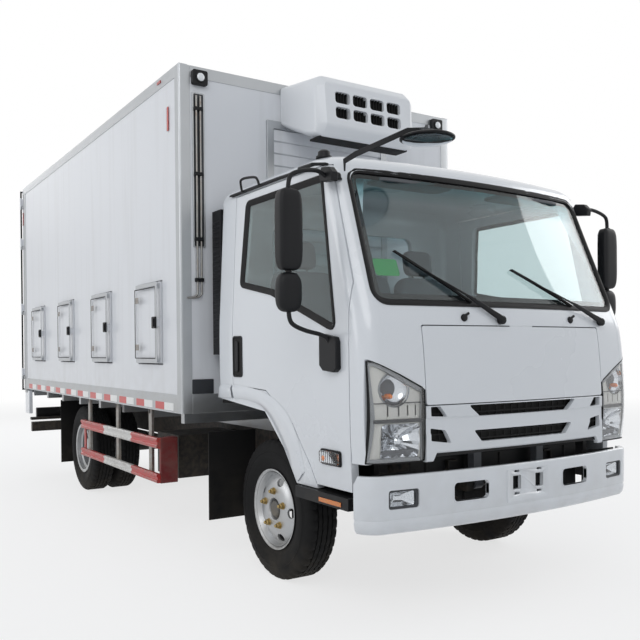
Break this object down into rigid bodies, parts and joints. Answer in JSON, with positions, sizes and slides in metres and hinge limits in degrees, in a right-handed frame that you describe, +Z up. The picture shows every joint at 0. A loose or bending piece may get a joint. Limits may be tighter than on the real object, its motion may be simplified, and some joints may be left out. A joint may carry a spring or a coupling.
{
  "type": "poultry transport lorry",
  "caption": "Cab-over light lorry with an insulated poultry box, side ventilation hatches, a front-wall cooling unit and twin rear wheels.",
  "frame": {"origin": "on the ground under the middle of the lorry's overall box", "axes": "+Z up, +Y from the cab to the rear doors, +X to the driver's side"},
  "size_m": [2.43, 6.0368, 3.012],
  "materials": {
    "white_paint": "gloss",
    "chassis_black": "satin",
    "cast_metal": "rough",
    "plain_steel": "satin",
    "guard_paint": "gloss",
    "black_rubber": "matt",
    "wheel_silver": "satin",
    "tyre_rubber": "matt",
    "box_panel": "gloss",
    "edge_metal": "satin",
    "cooler_shell": "gloss",
    "cab_trim": "matt",
    "seat_cloth": "woven",
    "clear_glass": "clear",
    "lamp_lens": "clear",
    "black_plastic": "grained",
    "white_plastic": "gloss"
  },
  "bodies": {
    "chassis": {"chassis_frame": "chassis_black", "engine_block": "cast_metal", "driveline": "chassis_black", "front_axle": "chassis_black", "rear_axle": "chassis_black", "leaf_springs": "chassis_black", "exhaust": "plain_steel", "fuel_tank": "plain_steel", "battery_box": "chassis_black", "mudguards": "black_rubber", "side_guards": "guard_paint", "rear_underrun": "chassis_black", "front_bumper": "white_paint", "box_wall_right": "box_panel", "box_wall_left": "box_panel", "box_floor": "edge_metal", "box_roof": "box_panel", "box_front_wall": "box_panel", "box_rear_frame": "edge_metal", "cooling_unit": "cooler_shell"},
    "cab": {"cab_roof": "white_paint", "cab_front": "white_paint", "cab_body": "white_paint", "grille": "white_plastic", "headlamps": "lamp_lens", "cab_glass": "clear_glass", "cab_floor": "cab_trim", "cab_steps": "black_plastic", "dashboard": "cab_trim", "seats": "seat_cloth", "kerb_mirror": "black_plastic", "air_intake": "black_plastic"},
    "cab_door_right": {"cab_door_right": "white_paint", "door_glass_right": "clear_glass", "door_mirrors_right": "black_plastic"},
    "cab_door_left": {"cab_door_left": "white_paint", "door_glass_left": "clear_glass", "door_mirrors_left": "black_plastic"},
    "front_panel": {"front_panel": "white_paint"},
    "steering_wheel": {"steering_wheel": "black_plastic"},
    "knuckle_right": {"knuckle_right": "chassis_black"},
    "front_wheel_right": {"front_rim_right": "wheel_silver", "front_tyre_right": "tyre_rubber"},
    "rear_wheels_right": {"rear_rims_right": "wheel_silver", "rear_tyres_right": "tyre_rubber"},
    "rear_door_right": {"rear_door_right": "box_panel"},
    "vent_hatch_right_1": {"vent_hatch_right_1": "box_panel"},
    "vent_hatch_right_2": {"vent_hatch_right_2": "box_panel"},
    "vent_hatch_right_3": {"vent_hatch_right_3": "box_panel"},
    "vent_hatch_right_4": {"vent_hatch_right_4": "box_panel"},
    "knuckle_left": {"knuckle_left": "chassis_black"},
    "front_wheel_left": {"front_rim_left": "wheel_silver", "front_tyre_left": "tyre_rubber"},
    "rear_wheels_left": {"rear_rims_left": "wheel_silver", "rear_tyres_left": "tyre_rubber"},
    "rear_door_left": {"rear_door_left": "box_panel"},
    "vent_hatch_left_1": {"vent_hatch_left_1": "box_panel"},
    "vent_hatch_left_2": {"vent_hatch_left_2": "box_panel"},
    "vent_hatch_left_3": {"vent_hatch_left_3": "box_panel"},
    "vent_hatch_left_4": {"vent_hatch_left_4": "box_panel"}
  },
  "joints": [
    {"name": "cab_tilt", "type": "hinge", "parent": "chassis", "child": "cab", "pos_m": [0, -2.8575, 0.6], "axis": [-1, 0, 0], "range_deg": [-38, 0]},
    {"name": "steer_right", "type": "hinge", "parent": "chassis", "child": "knuckle_right", "pos_m": [-0.63, -1.9225, 0.385], "axis": [0, 0, 1], "range_deg": [-35, 35]},
    {"name": "front_spin_right", "type": "hinge", "parent": "knuckle_right", "child": "front_wheel_right", "pos_m": [-0.752, -1.9225, 0.385], "axis": [1, 0, 0], "continuous": true},
    {"name": "rear_spin_right", "type": "hinge", "parent": "chassis", "child": "rear_wheels_right", "pos_m": [-0.7125, 1.4375, 0.385], "axis": [1, 0, 0], "continuous": true},
    {"name": "steer_left", "type": "hinge", "parent": "chassis", "child": "knuckle_left", "pos_m": [0.63, -1.9225, 0.385], "axis": [0, 0, 1], "range_deg": [-35, 35]},
    {"name": "front_spin_left", "type": "hinge", "parent": "knuckle_left", "child": "front_wheel_left", "pos_m": [0.752, -1.9225, 0.385], "axis": [1, 0, 0], "continuous": true},
    {"name": "rear_spin_left", "type": "hinge", "parent": "chassis", "child": "rear_wheels_left", "pos_m": [0.7125, 1.4375, 0.385], "axis": [1, 0, 0], "continuous": true},
    {"name": "steering", "type": "hinge", "parent": "cab", "child": "steering_wheel", "pos_m": [0.4, -2.56525, 1.32499], "axis": [0, 0.6278, 0.7784], "range_deg": [-560, 560]},
    {"name": "door_swing_right", "type": "hinge", "parent": "cab", "child": "cab_door_right", "pos_m": [-0.93, -2.7755, 1.2], "axis": [0, 0, 1], "range_deg": [0, 70]},
    {"name": "door_swing_left", "type": "hinge", "parent": "cab", "child": "cab_door_left", "pos_m": [0.93, -2.7755, 1.2], "axis": [0, 0, -1], "range_deg": [0, 70]},
    {"name": "panel_lift", "type": "hinge", "parent": "cab", "child": "front_panel", "pos_m": [0, -2.9525, 1.3724], "axis": [-1, 0, 0], "range_deg": [0, 70]},
    {"name": "rear_door_swing_right", "type": "hinge", "parent": "chassis", "child": "rear_door_right", "pos_m": [-1.109, 2.9895, 1.9], "axis": [0, 0, -1], "range_deg": [-250, 0]},
    {"name": "rear_door_swing_left", "type": "hinge", "parent": "chassis", "child": "rear_door_left", "pos_m": [1.109, 2.9895, 1.9], "axis": [0, 0, 1], "range_deg": [-250, 0]},
    {"name": "hatch_swing_right_1", "type": "hinge", "parent": "chassis", "child": "vent_hatch_right_1", "pos_m": [-1.107, -0.5215, 1.45], "axis": [0, 0, -1], "range_deg": [0, 150]},
    {"name": "hatch_swing_right_2", "type": "hinge", "parent": "chassis", "child": "vent_hatch_right_2", "pos_m": [-1.107, 0.4805, 1.45], "axis": [0, 0, -1], "range_deg": [0, 150]},
    {"name": "hatch_swing_right_3", "type": "hinge", "parent": "chassis", "child": "vent_hatch_right_3", "pos_m": [-1.107, 1.4825, 1.45], "axis": [0, 0, -1], "range_deg": [0, 150]},
    {"name": "hatch_swing_right_4", "type": "hinge", "parent": "chassis", "child": "vent_hatch_right_4", "pos_m": [-1.107, 2.4845, 1.45], "axis": [0, 0, -1], "range_deg": [0, 150]},
    {"name": "hatch_swing_left_1", "type": "hinge", "parent": "chassis", "child": "vent_hatch_left_1", "pos_m": [1.107, -0.5215, 1.45], "axis": [0, 0, 1], "range_deg": [0, 150]},
    {"name": "hatch_swing_left_2", "type": "hinge", "parent": "chassis", "child": "vent_hatch_left_2", "pos_m": [1.107, 0.4805, 1.45], "axis": [0, 0, 1], "range_deg": [0, 150]},
    {"name": "hatch_swing_left_3", "type": "hinge", "parent": "chassis", "child": "vent_hatch_left_3", "pos_m": [1.107, 1.4825, 1.45], "axis": [0, 0, 1], "range_deg": [0, 150]},
    {"name": "hatch_swing_left_4", "type": "hinge", "parent": "chassis", "child": "vent_hatch_left_4", "pos_m": [1.107, 2.4845, 1.45], "axis": [0, 0, 1], "range_deg": [0, 150]}
  ],
  "couplings": [
    {"joint": "steer_left", "follows": "steer_right", "ratio": 1},
    {"joint": "steering", "follows": "steer_right", "ratio": 16}
  ]
}
